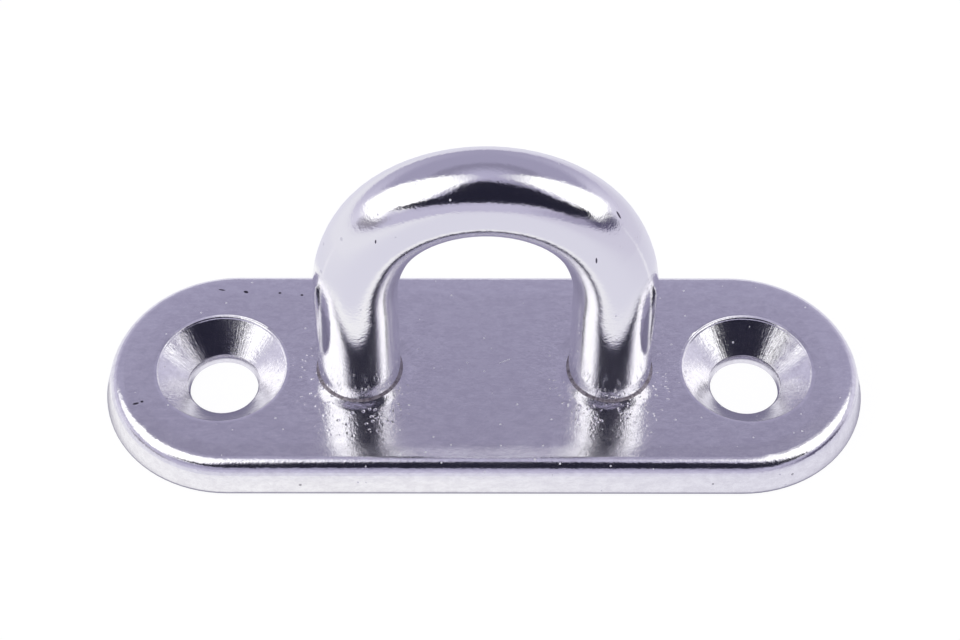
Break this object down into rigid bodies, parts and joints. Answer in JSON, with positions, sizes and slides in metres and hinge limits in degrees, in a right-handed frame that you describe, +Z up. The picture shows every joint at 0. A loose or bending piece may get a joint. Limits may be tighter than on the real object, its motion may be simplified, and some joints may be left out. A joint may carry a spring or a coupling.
{
  "type": "eye strap",
  "caption": "Polished stainless eye strap: a rounded oblong plate with countersunk screw holes and a bow of round bar whose legs stand in the plate.",
  "frame": {"origin": "middle of the plate's underside, which lies on the deck", "axes": "+X along the plate through both screw holes, +Y across the plate and through the eye, +Z up out of the deck"},
  "size_m": [0.0464, 0.0156, 0.021],
  "materials": {
    "plate_steel": "polished, with fine handling scratches",
    "bar_steel": "polished",
    "weld_metal": "ground flush"
  },
  "bodies": {
    "root": {"base_plate": "plate_steel", "bow": "bar_steel", "weld_left": "weld_metal", "weld_right": "weld_metal"}
  },
  "joints": []
}
